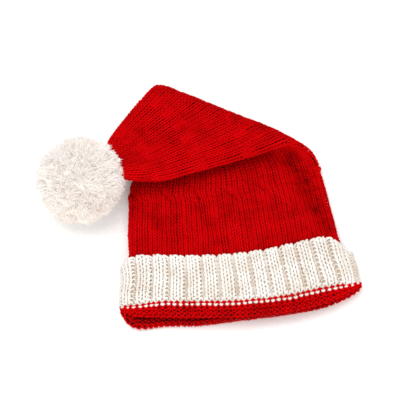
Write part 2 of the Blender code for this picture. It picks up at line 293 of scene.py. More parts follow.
# Camera that takes the photograph's view: a millimetre of the hat is a pixel of the 416 pixel frame
CAMERA_AZIMUTH = math.radians(-6.5)
CAMERA_ELEVATION = math.radians(65.0)
CAMERA_DISTANCE = 1.6
CAMERA_AIM = Vector((-20.6 * MM, 105.8 * MM - REST_AT, 0.0))
CAMERA_CLIP = 0.05
FRAME_WIDTH = 416 * MM
SENSOR = 36.0

# Soft lamps over the hat, one above it and to the left and one in front, and the pale surroundings
Lamp = namedtuple("Lamp", "name energy place size colour")
LAMPS = [
    Lamp("key", 13.5, (-0.38, 0.12, 1.60), 1.0, (1.0, 0.99, 0.97)),
    Lamp("fill", 12.0, (0.25, -1.5, 0.8), 1.2, (1.0, 0.98, 0.96)),
]
WORLD_COLOUR = (1.0, 0.99, 0.98)
WORLD_STRENGTH = 0.88
FLOOR_HALF = 6.0

# One row per section of the unfolded hat, from the mouth to the tip. "along" is a share of HAT_LENGTH,
# "left" and "right" are shares of HALF_WIDTH, "depth" of BODY_DEPTH, "edge" of EDGE_DEPTH, "lift" of the
# turn-up's thickness below the bag, "sag" of SAG, and "belly", how far the back swells, of BODY_DEPTH.
Section = namedtuple("Section", "along left right depth edge lift sag belly")
SECTIONS = [
    Section(0.000, 1.100, 1.100, 0.84, 0.98, 1.0, 1.00, 0.00),
    Section(0.050, 1.085, 1.085, 0.88, 1.01, 1.0, 1.00, 0.00),
    Section(0.100, 1.040, 1.040, 0.95, 1.05, 1.0, 1.00, 0.00),
    Section(0.165, 1.015, 0.997, 1.00, 1.05, 1.0, 1.00, 0.00),
    Section(0.225, 1.010, 0.987, 0.96, 1.00, 0.0, 1.00, 0.00),
    Section(0.250, 1.002, 0.977, 0.93, 1.00, 0.0, 1.00, 0.00),
    Section(0.300, 0.980, 0.962, 0.86, 1.00, 0.0, 1.05, 0.00),
    Section(0.360, 0.955, 0.940, 0.78, 1.00, 0.0, 1.05, 0.00),
    Section(0.405, 0.905, 0.918, 0.72, 1.00, 0.0, 1.05, 0.00),
    Section(0.430, 0.880, 0.885, 0.68, 1.00, 0.0, 1.05, 0.00),
    Section(0.480, 0.805, 0.805, 0.62, 1.00, 0.0, 1.00, 0.00),
    Section(0.520, 0.755, 0.770, 0.60, 1.00, 0.0, 1.00, 0.00),
    Section(0.585, 0.672, 0.728, 0.58, 1.00, 0.0, 0.90, 0.00),
    Section(0.650, 0.583, 0.665, 0.58, 1.00, 0.0, 0.80, 0.05),
    Section(0.720, 0.500, 0.590, 0.58, 1.00, 0.0, 0.70, 0.12),
    Section(0.775, 0.435, 0.530, 0.58, 1.00, 0.0, 0.60, 0.14),
    Section(0.830, 0.358, 0.480, 0.60, 1.05, 0.0, 0.45, 0.10),
    Section(0.880, 0.275, 0.390, 0.62, 1.15, 0.0, 0.35, 0.04),
    Section(0.930, 0.175, 0.260, 0.60, 1.15, 0.0, 0.20, 0.00),
    Section(0.970, 0.130, 0.145, 0.55, 1.10, 0.0, 0.10, 0.00),
    Section(1.000, 0.085, 0.085, 0.45, 1.00, 0.0, 0.00, 0.00),
]

# The mouth's edge from the hat's left end to its right end: "side" is a share of the half width, "front"
# and "back" are how far each layer's edge reaches past the ends, as shares of SAG.
MouthEdge = namedtuple("MouthEdge", "side front back")
MOUTH = [
    MouthEdge(-1.00, 0.00, 0.00),
    MouthEdge(-0.975, 0.10, 0.50),
    MouthEdge(-0.94, 0.26, 0.80),
    MouthEdge(-0.87, 0.42, 1.00),
    MouthEdge(-0.68, 0.70, 0.95),
    MouthEdge(-0.35, 1.08, 1.17),
    MouthEdge(-0.10, 1.30, 1.13),
    MouthEdge(0.10, 1.38, 1.10),
    MouthEdge(0.30, 1.36, 1.08),
    MouthEdge(0.60, 1.10, 0.93),
    MouthEdge(0.88, 0.48, 0.42),
    MouthEdge(1.00, 0.00, 0.00),
]

# Dents and swellings, each a soft groove along a straight line on the unfolded hat. "side" is a share of
# HALF_WIDTH, "along" of HAT_LENGTH, "depth" and "reach" of EDGE_DEPTH; a negative depth is a swelling.
Dent = namedtuple("Dent", "layer side_from along_from side_to along_to depth reach")
DENTS = [
    Dent("front", 0.94, 0.165, 0.66, 0.430, 0.74, 0.94),
    Dent("front", -0.73, 0.330, -0.66, 0.240, 0.32, 0.42),
    Dent("front", -0.31, 0.340, -0.16, 0.210, 0.50, 0.45),
    Dent("front", 0.03, 0.305, 0.12, 0.220, -0.16, 0.80),
    Dent("front", -0.90, 0.400, -0.93, 0.200, -0.06, 0.60),
    Dent("back", -0.30, 0.700, -0.22, 0.760, 0.16, 1.00),
    Dent("back", 0.02, 0.690, -0.06, 0.780, 0.14, 1.10),
    Dent("back", 0.20, 0.850, 0.10, 0.830, 0.18, 0.90),
]

# How far the turn-up stands away from the bag at its ends: "up" is a share of its height, "stand" of
# CUFF_STAND.
CuffRing = namedtuple("CuffRing", "up stand")
CUFF_RINGS = [
    CuffRing(0.00, 0.00),
    CuffRing(0.33, 0.05),
    CuffRing(0.66, 0.30),
    CuffRing(0.92, 0.85),
    CuffRing(1.00, 1.00),
]


def ease(value):
    """Soft step from 0 to 1 as the values go from 0 to 1."""
    value = np.clip(value, 0.0, 1.0)
    return value * value * (3 - 2 * value)


def unit(vectors):
    """Vectors of length 1 with the same directions."""
    return vectors / np.maximum(np.linalg.norm(vectors, axis=-1, keepdims=True), TINY)


def smooth_curve(places, heights, wanted):
    """Heights of a curve through the points that never overshoots them."""
    places = np.array(places, float)
    heights = np.array(heights, float)
    steps = np.diff(places)
    slopes = np.diff(heights) / steps
    turns = np.zeros(len(places))
    turns[0] = slopes[0]
    turns[-1] = slopes[-1]
    for i in range(1, len(steps)):
        if slopes[i - 1] * slopes[i] > 0:
            first = 2 * steps[i] + steps[i - 1]
            second = steps[i] + 2 * steps[i - 1]
            turns[i] = (first + second) / (first / slopes[i - 1] + second / slopes[i])
    wanted = np.clip(wanted, places[0], places[-1])
    i = np.clip(np.searchsorted(places, wanted) - 1, 0, len(steps) - 1)
    t = (wanted - places[i]) / steps[i]
    return (
        (1 + 2 * t) * (1 - t) ** 2 * heights[i]
        + t * (1 - t) ** 2 * steps[i] * turns[i]
        + t * t * (3 - 2 * t) * heights[i + 1]
        + t * t * (t - 1) * steps[i] * turns[i + 1]
    )


def column(table, name):
    """Values of one column of a table."""
    return [getattr(row, name) for row in table]


def section_value(name, along):
    """Values of a column of the section table at distances from the mouth."""
    return smooth_curve(column(SECTIONS, "along"), column(SECTIONS, name), along / HAT_LENGTH)


def mouth_value(name, side):
    """Values of a column of the mouth table at shares of the half width."""
    return smooth_curve(column(MOUTH, "side"), column(MOUTH, name), side)


def sag_at(along, side, front):
    """How far points hang back towards the mouth, from their place across the hat."""
    body = section_value("sag", along) * np.maximum(1 - side * side, 0.0) ** SAG_POWER
    edge = np.where(front, mouth_value("front", side), mouth_value("back", side))
    share = ease(along / MOUTH_REACH)
    return SAG * (edge * (1 - share) + body * share)


def dent_at(layer, across, along):
    """Depth of all the dents of a layer at points of the unfolded hat."""
    total = np.zeros(np.broadcast(across, along).shape)
    for dent in DENTS:
        if dent.layer != layer:
            continue
        start_across = dent.side_from * HALF_WIDTH
        start_along = dent.along_from * HAT_LENGTH
        way_across = dent.side_to * HALF_WIDTH - start_across
        way_along = dent.along_to * HAT_LENGTH - start_along
        share = (across - start_across) * way_across + (along - start_along) * way_along
        share = np.clip(share / (way_across**2 + way_along**2), 0.0, 1.0)
        beside_across = across - start_across - way_across * share
        beside_along = along - start_along - way_along * share
        distance = np.hypot(beside_across, beside_along)
        total += dent.depth * EDGE_DEPTH * np.exp(-((distance / (dent.reach * EDGE_DEPTH)) ** 2))
    return total


def shaped(value):
    """Sines or cosines drawn out into the section's squarer form."""
    return np.sign(value) * np.abs(value) ** (2 / SQUARENESS)


def unfolded_points(along, turn, inset, stand):
    """Points of the hat before its top is folded over."""
    side = shaped(np.cos(turn))
    height = shaped(np.sin(turn))
    front = np.sin(turn) >= 0
    half = np.where(side > 0, section_value("right", along), section_value("left", along)) * HALF_WIDTH
    edge = section_value("edge", along) * EDGE_DEPTH
    lift = section_value("lift", along) * (CUFF_WALL + CUFF_GAP)
    bulge = np.maximum(1 - side * side, 0.0) ** SWELL_POWER
    swell = section_value("depth", along) * BODY_DEPTH - lift - edge
    over = lift + inset + (edge - 2 * inset) / 2 * (1 + height) + swell * bulge
    shown = ease((along - CUFF_HEIGHT) / DENTS_OVER)
    over = over - dent_at("front", half * side, along) * ease((1 - side * side) * DENT_EDGE_FADE) * shown
    belly = section_value("belly", along) * BODY_DEPTH
    rounding = np.maximum(0.0, (edge - 2 * inset) / 2 * (1 + UNDERSIDE_FLAT * height))
    under = lift + inset + rounding - belly * bulge
    under = under + dent_at("back", half * side, along) * bulge
    across = (half - inset + stand) * side
    return across, along - sag_at(along, side, front), np.where(front, over, under)


def folded(across, along, up):
    """Carry points of the unfolded hat round the diagonal fold and onto the front."""
    way = (math.cos(FOLD_TILT), math.sin(FOLD_TILT))
    run = across * way[0] + along * way[1]
    radius = FOLD_RADIUS + FOLD_RADIUS_MORE * ease((run - FOLD_AT * way[1] - WIDER_FROM) / WIDER_OVER)
    start = FOLD_AT * way[0] - radius - FOLD_MIDDLE
    start = start + FOLD_BULGE * np.exp(-(((run - BULGE_AT) / BULGE_REACH) ** 2))
    past = -across * way[1] + along * way[0] - start
    angle = np.clip(past / radius, 0.0, math.pi)
    extra = np.maximum(past - math.pi * radius, 0.0)
    reach = radius - (up - FOLD_MIDDLE)
    place = np.where(past > 0, start + reach * np.sin(angle) - extra, start + past)
    rise = TAIL_RISE * ease((extra - RISE_FROM) / RISE_OVER)
    raised = FOLD_MIDDLE + radius - reach * np.cos(angle) + rise
    up = np.maximum(np.where(past > 0, raised, up), 0.0)
    return np.stack([way[0] * run - way[1] * place, way[1] * run + way[0] * place - REST_AT, up], -1)


def fabric_profile(run):
    """Distance from the mouth and inset into the wall along the fabric: up the bag where the run is
    positive, round the hem where it is small, and up the turn-up where it is negative."""
    angle = np.clip(run / HEM_RADIUS, -math.pi / 2, math.pi / 2)
    beyond = np.maximum(np.abs(run) - QUARTER_HEM, 0.0)
    along = HEM_CENTRE - HEM_RADIUS * np.cos(angle) + beyond
    inset = HEM_MIDDLE + HEM_RADIUS * np.sin(angle)
    return along, inset


def rib_profile(share):
    """Height of the turn-up's ribs round the hat: 0 in the valleys, 1 on the ribs."""
    place = (share * STITCHES / STITCHES_PER_RIB - RIB_PHASE) % 1.0
    return ease((np.minimum(place, 1 - place) - VALLEY_HALF) / RIB_SLOPE)


class Fabric:
    """Middle surface of the knitting as a fine grid: runs along the fabric by shares of the way round."""

    STEP = 1.0 * MM
    COLUMNS = 672
    FINE_TURNS = 1441
    HEIGHT_SHARE = 0.5
    BEFORE_LAST = 1.001
    PAST_TOP = 4 * MM
    SHORT_OF_TIP = 1.0 * MM

    def __init__(self):
        self.start = CUFF_TOP - self.PAST_TOP
        self.end = HAT_LENGTH + QUARTER_HEM - HEM_CENTRE - self.SHORT_OF_TIP
        count = int((self.end - self.start) / self.STEP) + 1
        runs = np.linspace(self.start, self.end, count)
        self.spacing = runs[1] - runs[0]
        along, inset = fabric_profile(runs)
        turns = np.array([self.even_turns(place) for place in along])
        along = along[:, None] + 0 * turns
        along, relief, stand = self.turned_up(runs, turns, along)
        across, hanging, up = unfolded_points(along, turns, inset[:, None] - relief, stand)
        self.points = folded(across, hanging, up)
        bare = self.square_to_surface()
        # Painted shade of the red wool: how far each point lies in the first decreases' crease hollows and
        # in the front's dents
        relief, painted_shade = self.puckers(runs)
        dents = dent_at("front", across, along) * (np.sin(turns) >= 0) / EDGE_DEPTH
        self.painted_shade = painted_shade + DENT_SHADE * np.maximum(dents, 0.0) ** 2
        self.points = self.points + bare * relief[..., None]
        self.points[..., 2] = np.maximum(self.points[..., 2], 0.0)
        self.normals = unit(self.softened(self.square_to_surface()))

    def even_turns(self, place):
        """Turns of evenly spread columns round the section at one distance from the mouth."""
        fine = np.linspace(0, 2 * math.pi, self.FINE_TURNS)
        across, _, up = unfolded_points(np.full(fine.shape, max(place, 0.0)), fine, 0.0, 0.0)
        steps = np.hypot(np.diff(across), np.diff(up) * self.HEIGHT_SHARE)
        steps = np.concatenate([[0.0], np.cumsum(steps)])
        return np.interp(np.arange(self.COLUMNS) / self.COLUMNS * steps[-1], steps, fine)

    def turned_up(self, runs, turns, along):
        """Distances from the mouth with the turn-up's shape, its ribs' relief and how far it stands out."""
        side = shaped(np.cos(turns))
        up = np.clip(along / CUFF_HEIGHT, 0.0, UP_LIMIT)
        is_cuff = np.where(runs < -QUARTER_HEM, 1.0, 0.0)[:, None]
        corner = np.where(side > 0, RIGHT_CORNER, LEFT_CORNER)
        drop = CORNER_DROP * ease((np.abs(side) - corner) / (1 - corner))
        drop = drop + RIGHT_CORNER_MORE * ease((side - RIGHT_MORE_FROM) / RIGHT_MORE_OVER)
        along = along - is_cuff * drop * up
        stand = smooth_curve(column(CUFF_RINGS, "up"), column(CUFF_RINGS, "stand"), up)
        stand = is_cuff * stand * CUFF_STAND * np.abs(side) ** STAND_POWER
        rib = rib_profile(np.arange(self.COLUMNS) / self.COLUMNS)[None, :]
        along = along + is_cuff * RIB_SCALLOP * (rib - 0.5) * ease((up - SCALLOP_FROM) / (1 - SCALLOP_FROM))
        near_hem = ease((along - HEM_CENTRE) / PULL_STARTS) * ease((PULL_ENDS - along) / PULL_FADES)
        pulled = ease((np.abs(side) - PULL_FROM) / (1 - PULL_FROM))
        along = along - is_cuff * CORNER_PULL * near_hem * pulled
        ribbed = ease((COLOUR_CHANGE - RELIEF_FROM - runs) / (RELIEF_COURSES * COURSE_HEIGHT))[:, None]
        on_floor = ease((-shaped(np.sin(turns)) - FLOOR_FROM) / FLOOR_OVER)
        at_edge = EDGE_SMOOTHING * ease((side - SMOOTH_EDGE_FROM) / SMOOTH_EDGE_OVER)
        relief = ribbed * (RIB_RISE * rib - RIB_VALLEY * (1 - rib)) * (1 - on_floor) * (1 - at_edge)
        return along, relief, stand

    def square_to_surface(self):
        """Directions out of the fabric at every point of the grid."""
        round_way = np.roll(self.points, -1, axis=1) - np.roll(self.points, 1, axis=1)
        along_way = np.gradient(self.points, axis=0)
        return unit(np.cross(along_way, round_way))

    def puckers(self, runs):
        """Small hollow below and swelling above every decrease, where two columns of stitches are drawn
        together, and how much painted shade each place gets in the crease hollows of the first round."""
        shares = np.arange(self.COLUMNS) / self.COLUMNS
        total = np.zeros((len(runs), self.COLUMNS))
        painted_shade = np.zeros((len(runs), self.COLUMNS))
        girth = np.linalg.norm(np.diff(self.points, axis=1), axis=-1).sum(axis=1)[:, None]
        for decrease in range(DECREASE_ROUNDS):
            height = DECREASE_FIRST + decrease * DECREASE_STEP + QUARTER_HEM - HEM_CENTRE
            rows = np.abs(runs - height) < PUCKER_ROWS * PUCKER_REACH
            from_end = PUCKER_FROM_END / (STITCHES / SECTORS - decrease)
            for sector in range(SECTORS):
                share = (sector + 1 - from_end) / SECTORS + STITCH_SHIFT / STITCHES
                apart = (shares[None, :] - share + 0.5) % 1.0 - 0.5
                across = apart * girth[rows] / PUCKER_REACH
                up = ((runs - height) / PUCKER_REACH)[rows][:, None]
                marked = decrease == 0 and sector != SMOOTH_SECTOR
                deeper = FIRST_PUCKERS if marked else 1.0
                beside = across - HOLLOW_BESIDE - PUCKER_SLANT * up
                length = np.exp(-((up + HOLLOW_BELOW) ** 2))
                hollow = np.exp(-(beside**2) * HOLLOW_SHARPNESS) * length
                ridge = np.exp(-((beside - RIDGE_BESIDE) ** 2) * RIDGE_SHARPNESS) * length
                aside = (across + SWELLING_BESIDE) ** 2 * SWELLING_SHARPNESS
                above = (up - SWELLING_ABOVE) ** 2 * SWELLING_SHARPNESS_UP
                swelling = np.exp(-aside - above)
                relief = SWELLING_HEIGHT * swelling - deeper * hollow + RIDGE_HEIGHT * deeper * ridge
                total[rows] += PUCKER_DEPTH * relief
                # Painted shade along the hollows of the first round's decreases
                painted_shade[rows] += hollow * marked
        return total, painted_shade

    def softened(self, values):
        """Average of each value and its neighbours, round the hat only."""
        return (values * 2 + np.roll(values, 1, axis=1) + np.roll(values, -1, axis=1)) / 4

    def at(self, run, share, height):
        """Points, normals and painted shade at runs and shares of the way round, at heights over the
        fabric.
        """
        row = np.clip((run - self.start) / self.spacing, 0, len(self.points) - self.BEFORE_LAST)
        place = (share % 1.0) * self.COLUMNS
        i = row.astype(int)
        j = place.astype(int) % self.COLUMNS
        k = (j + 1) % self.COLUMNS
        a = (row - i)[..., None]
        b = (place - np.floor(place))[..., None]

        def between(grid):
            lower = (1 - b) * grid[i, j] + b * grid[i, k]
            upper = (1 - b) * grid[i + 1, j] + b * grid[i + 1, k]
            return (1 - a) * lower + a * upper

        normal = unit(between(self.normals))
        return between(self.points) + normal * height[..., None], normal, self.painted_shade[i, j]


def stitch_edges(place):
    """Shares of the way round of the edges between the stitches of the course at a distance from the mouth,
    and how far each stitch stands out where two columns of stitches are drawn into one."""
    rounds = math.floor((place - DECREASE_FIRST) / DECREASE_STEP) + 1
    rounds = int(np.clip(rounds, 0, DECREASE_ROUNDS))
    each = max(STITCHES // SECTORS - rounds, 1)
    edges = np.arange(each + 1) / each
    stand = np.zeros(each)
    if rounds < DECREASE_ROUNDS and each > 1:
        next_round = DECREASE_FIRST + rounds * DECREASE_STEP
        merged = np.minimum(np.arange(each + 1), each - 1) / (each - 1)
        merged[each - 1] = (each - DECREASE_MEETS) / (each - 1)
        closing = float(ease((place - (next_round - DECREASE_EASE)) / DECREASE_EASE))
        edges = edges * (1 - closing) + merged * closing
        stand[each - 2] = DECREASE_RAISE * closing
        stand[each - 1] = -DECREASE_RAISE * closing
    shares = [(sector + edge) / SECTORS for sector in range(SECTORS) for edge in edges[:-1]]
    return np.array(shares) + STITCH_SHIFT / STITCHES, np.tile(stand, SECTORS)


def ribbed_edges():
    """Shares of the way round of the edges between the stitches of the turn-up's ribs."""
    ribs = np.arange(STITCHES // STITCHES_PER_RIB)[:, None]
    offsets = np.array([-LADDER_WIDTH / 2, LADDER_WIDTH / 2, 0.5])[None, :]
    return ((ribs + RIB_PHASE + offsets) / (STITCHES // STITCHES_PER_RIB)).ravel()


class Unevenness:
    """Slow random changes from one column of stitches to the next, as hand knitting has."""

    def __init__(self, seed):
        draws = np.random.default_rng(seed).normal(0, 1, (4, STITCHES))
        self.tables = np.clip(draws, -COLUMN_LIMIT, COLUMN_LIMIT)

    def at(self, share, run):
        """Unevenness of spacing and of height at shares of the way round and one place along the fabric."""
        place = (share % 1.0) * STITCHES
        first = np.floor(place).astype(int) % STITCHES
        part = place - np.floor(place)
        values = self.tables[:, first] * (1 - part) + self.tables[:, (first + 1) % STITCHES] * part
        wave = run / COLUMN_WAVE
        spacing = values[0] * math.cos(wave) + values[1] * math.sin(wave)
        height = values[2] * math.cos(wave * HEIGHT_WAVE) + values[3] * math.sin(wave * HEIGHT_WAVE)
        return spacing, height


def course_path(fabric, run, edges, signs, stand, kind, rng):
    """Points, fabric normals and painted shade along the yarn of one closed course."""
    count = len(edges)
    t = np.arange(kind.steps) / kind.steps * 2 * math.pi
    ends = np.append(edges[1:], edges[0] + 1.0)
    width = (ends - edges)[:, None]
    path = t / (2 * math.pi) + kind.lean * np.sin(2 * t) + kind.close * np.sin(t)
    across = edges[:, None] + width * path[None, :]
    length = kind.reach * LOOP_REACH * COURSE_HEIGHT * (1 + LENGTH_UNEVEN * rng.standard_normal((count, 1)))
    up = run - length * np.cos(t)[None, :] + PLACE_UNEVEN * rng.standard_normal((count, 1))
    own = signs[:, None] * (-LOOP_DEPTH * kind.depth) * np.cos(2 * t)[None, :]
    border_left = ((own[:, 0] + np.roll(own[:, 0], 1)) / 2)[:, None]
    border_right = ((own[:, 0] + np.roll(own[:, 0], -1)) / 2)[:, None]
    near_left = (1 - ease(t / LOOP_JOIN))[None, :]
    near_right = (1 - ease((2 * math.pi - t) / LOOP_JOIN))[None, :]
    height = own * (1 - near_left) * (1 - near_right)
    height = height + border_left * near_left + border_right * near_right
    middle = 0.5 * (1 - np.cos(t))[None, :]
    height = height + stand[:, None] * middle + HEIGHT_UNEVEN * rng.standard_normal((count, 1)) * middle
    aside = np.repeat(rng.standard_normal(count), kind.steps)
    across = across.ravel() + SIDE_UNEVEN / STITCHES * aside
    return fabric.at(up.ravel(), across, height.ravel())


def wrapped_faces(strips, rings, width):
    """Four-cornered faces of strips between neighbouring rings of points."""
    i = np.arange(strips)[:, None]
    j = np.arange(width)[None, :]
    following = (i + 1) % rings
    turned = (j + 1) % width
    corners = [i * width + j, i * width + turned, following * width + turned, following * width + j]
    return np.stack(corners, -1).reshape(-1, 4)


def tube(points, normals, radius, sides, closed=True):
    """Vertices and faces of a tube along a path, and how far along the yarn each vertex lies."""
    if closed:
        tangent = np.roll(points, -1, axis=0) - np.roll(points, 1, axis=0)
    else:
        tangent = np.gradient(points, axis=0)
    tangent = unit(tangent)
    across = unit(normals - tangent * np.sum(normals * tangent, axis=1, keepdims=True))
    other = np.cross(tangent, across)
    angle = np.arange(sides) / sides * 2 * math.pi
    ring = across[:, None, :] * np.cos(angle)[None, :, None]
    ring = ring + other[:, None, :] * np.sin(angle)[None, :, None]
    radius = np.asarray(radius)
    if radius.ndim == 1:
        radius = radius[:, None, None]
    verts = points[:, None, :] + ring * radius
    count = len(points)
    faces = wrapped_faces(count if closed else count - 1, count, sides)
    length = np.concatenate([[0.0], np.cumsum(np.linalg.norm(np.diff(points, axis=0), axis=1))])
    along = np.repeat(length, sides)
    return verts.reshape(-1, 3), faces, along


def mesh_piece(name, verts, faces, material, smooth=True, along=None, tone_and_shade=None):
    """Mesh object from arrays of points and faces, with the yarn's lengths, and its random tones with
    painted shade, where it has them.
    """
    data = bpy.data.meshes.new(name)
    data.vertices.add(len(verts))
    data.vertices.foreach_set("co", np.asarray(verts, np.float32).ravel())
    data.loops.add(faces.size)
    data.loops.foreach_set("vertex_index", np.asarray(faces, np.int32).ravel())
    data.polygons.add(len(faces))
    data.polygons.foreach_set("loop_start", np.arange(len(faces), dtype=np.int32) * faces.shape[1])
    data.polygons.foreach_set("use_smooth", np.full(len(faces), smooth, bool))
    data.update(calc_edges=True)
    for label, values in (("yarn_along", along), ("tone_and_shade", tone_and_shade)):
        if values is not None:
            layer = data.attributes.new(label, "FLOAT", "POINT")
            layer.data.foreach_set("value", np.asarray(values, np.float32))
    data.materials.append(material)
    data.validate()
    piece = bpy.data.objects.new(name, data)
    bpy.context.scene.collection.objects.link(piece)
    return piece


class Bundle:
    """Gathers many tubes into one mesh piece."""

    def __init__(self):
        self.verts = []
        self.faces = []
        self.along = []
        self.tone_and_shade = []
        self.count = 0

    def add(self, verts, faces, along, tone_and_shade):
        """Add one tube."""
        self.verts.append(verts)
        self.faces.append(faces + self.count)
        self.along.append(along)
        self.tone_and_shade.append(np.zeros(len(verts)) + tone_and_shade)
        self.count += len(verts)

    def piece(self, name, material, smooth=True):
        """Make the gathered tubes into one object."""
        verts = np.concatenate(self.verts)
        verts[:, 2] = np.maximum(verts[:, 2], YARN_FLOOR)
        return mesh_piece(
            name,
            verts,
            np.concatenate(self.faces),
            material,
            smooth=smooth,
            along=np.concatenate(self.along),
            tone_and_shade=np.concatenate(self.tone_and_shade),
        )


def attribute(nodes, name):
    """Node that reads one of a piece's own point values."""
    node = nodes.new("ShaderNodeAttribute")
    node.attribute_name = name
    return node


def noise(nodes, scale, detail):
    """Noise node of a scale and a detail."""
    node = nodes.new("ShaderNodeTexNoise")
    node.inputs["Scale"].default_value = scale
    node.inputs["Detail"].default_value = detail
    return node


def wool(name, look):
    """Wool yarn: twisted plies along each strand, fine fibres across them, slight colour changes, and
    painted shade carried by the pieces' points.
    """
    material = bpy.data.materials.new(name)
    material.use_nodes = True
    nodes = material.node_tree.nodes
    links = material.node_tree.links
    shader = nodes["Principled BSDF"]
    shader.inputs["Roughness"].default_value = WOOL_ROUGHNESS
    shader.inputs["Specular IOR Level"].default_value = look.specular
    shader.inputs["Sheen Weight"].default_value = look.sheen
    shader.inputs["Sheen Roughness"].default_value = SHEEN_ROUGHNESS
    shader.inputs["Sheen Tint"].default_value = (*look.sheen_colour, 1.0)
    along = attribute(nodes, "yarn_along")
    tone_and_shade = attribute(nodes, "tone_and_shade")
    place = nodes.new("ShaderNodeNewGeometry")
    fibres = noise(nodes, FIBRE_SCALE, FIBRE_DETAIL)
    links.new(place.outputs["Position"], fibres.inputs["Vector"])
    patches = noise(nodes, PATCH_SCALE, PATCH_DETAIL)
    links.new(place.outputs["Position"], patches.inputs["Vector"])
    turns = nodes.new("ShaderNodeMath")
    turns.operation = "MULTIPLY"
    turns.inputs[1].default_value = 2 * math.pi / TWIST_LENGTH
    links.new(along.outputs["Fac"], turns.inputs[0])
    twist = nodes.new("ShaderNodeMath")
    twist.operation = "SINE"
    links.new(turns.outputs[0], twist.inputs[0])
    mixed = nodes.new("ShaderNodeMath")
    mixed.operation = "ADD"
    links.new(patches.outputs["Fac"], mixed.inputs[0])
    links.new(tone_and_shade.outputs["Fac"], mixed.inputs[1])
    ramp = nodes.new("ShaderNodeValToRGB")
    ramp.color_ramp.elements[0].position = SHADE_AT
    ramp.color_ramp.elements[0].color = (*look.shade, 1.0)
    ramp.color_ramp.elements[1].position = COLOUR_AT
    ramp.color_ramp.elements[1].color = (*look.colour, 1.0)
    # Darkest stop of the ramp, reached by the painted shade of the deepest crease hollows
    first = ramp.color_ramp.elements.new(0.0)
    first.color = (*[look.deepest * part for part in look.shade], 1.0)
    links.new(mixed.outputs[0], ramp.inputs["Fac"])
    links.new(ramp.outputs["Color"], shader.inputs["Base Color"])
    relief = nodes.new("ShaderNodeMath")
    relief.operation = "MULTIPLY_ADD"
    relief.inputs[1].default_value = TWIST_RELIEF
    links.new(twist.outputs[0], relief.inputs[0])
    links.new(fibres.outputs["Fac"], relief.inputs[2])
    raised = nodes.new("ShaderNodeBump")
    raised.inputs["Strength"].default_value = look.bump
    raised.inputs["Distance"].default_value = RELIEF_DEPTH
    links.new(relief.outputs[0], raised.inputs["Height"])
    links.new(raised.outputs["Normal"], shader.inputs["Normal"])
    return material


def plain(name, colour):
    """Material for the thin backing between the stitches, the pompom's middle and the floor."""
    material = bpy.data.materials.new(name)
    material.use_nodes = True
    nodes = material.node_tree.nodes
    links = material.node_tree.links
    shader = nodes["Principled BSDF"]
    shader.inputs["Roughness"].default_value = PLAIN_ROUGHNESS
    shader.inputs["Specular IOR Level"].default_value = PLAIN_SPECULAR
    place = nodes.new("ShaderNodeNewGeometry")
    patches = nodes.new("ShaderNodeTexNoise")
    patches.inputs["Scale"].default_value = PLAIN_PATCH_SCALE
    links.new(place.outputs["Position"], patches.inputs["Vector"])
    ramp = nodes.new("ShaderNodeValToRGB")
    ramp.color_ramp.elements[0].color = (*[c * PLAIN_SHADE for c in colour], 1.0)
    ramp.color_ramp.elements[1].color = (*colour, 1.0)
    links.new(patches.outputs["Fac"], ramp.inputs["Fac"])
    links.new(ramp.outputs["Color"], shader.inputs["Base Color"])
    return material


def declare(piece, node):
    """Fasten a piece to the hat's only body in place of its CAD node."""
    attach(piece, "root")
    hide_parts(node)


def knit_bag(fabric, uneven, rng):
    """Bundles of the red courses, from the tip down to the one at the colour change."""
    bundles = {stretch.name: Bundle() for stretch in STRETCHES}
    first = fabric.end - TIP_MARGIN
    rows = int(round((first - COLOUR_CHANGE) / COURSE_HEIGHT))
    runs = np.linspace(first, COLOUR_CHANGE, rows + 1)
    for run in runs:
        if HIDDEN_FROM <= run < HIDDEN_TO:
            continue
        place = float(fabric_profile(np.array([run]))[0][0]) if run > 0 else 0.0
        edges, stand = stitch_edges(place)
        spacing, height = uneven.at(edges, run)
        edges = edges + WALE_UNEVEN / STITCHES * spacing
        stand = stand + WALE_STAND * height
        kind = MOUTH_COURSE if run < HIDDEN_FROM else BAG_COURSE
        if run == runs[-1]:
            kind = RED_EDGE
        signs = np.ones(len(edges))
        points, normals, painted_shade = course_path(fabric, run, edges, signs, stand, kind, rng)
        strand = tube(points, normals, kind.radius, YARN_SIDES)
        # Each yarn's random tone, darkened by painted shade in the crease hollows and dents
        tone_and_shade = np.repeat(-CREASE_PAINTED_SHADE * painted_shade, YARN_SIDES) + rng.normal(0.0, RED_UNEVEN)
        for stretch in STRETCHES:
            if stretch.start <= run < stretch.end:
                bundles[stretch.name].add(*strand, tone_and_shade)
    return bundles


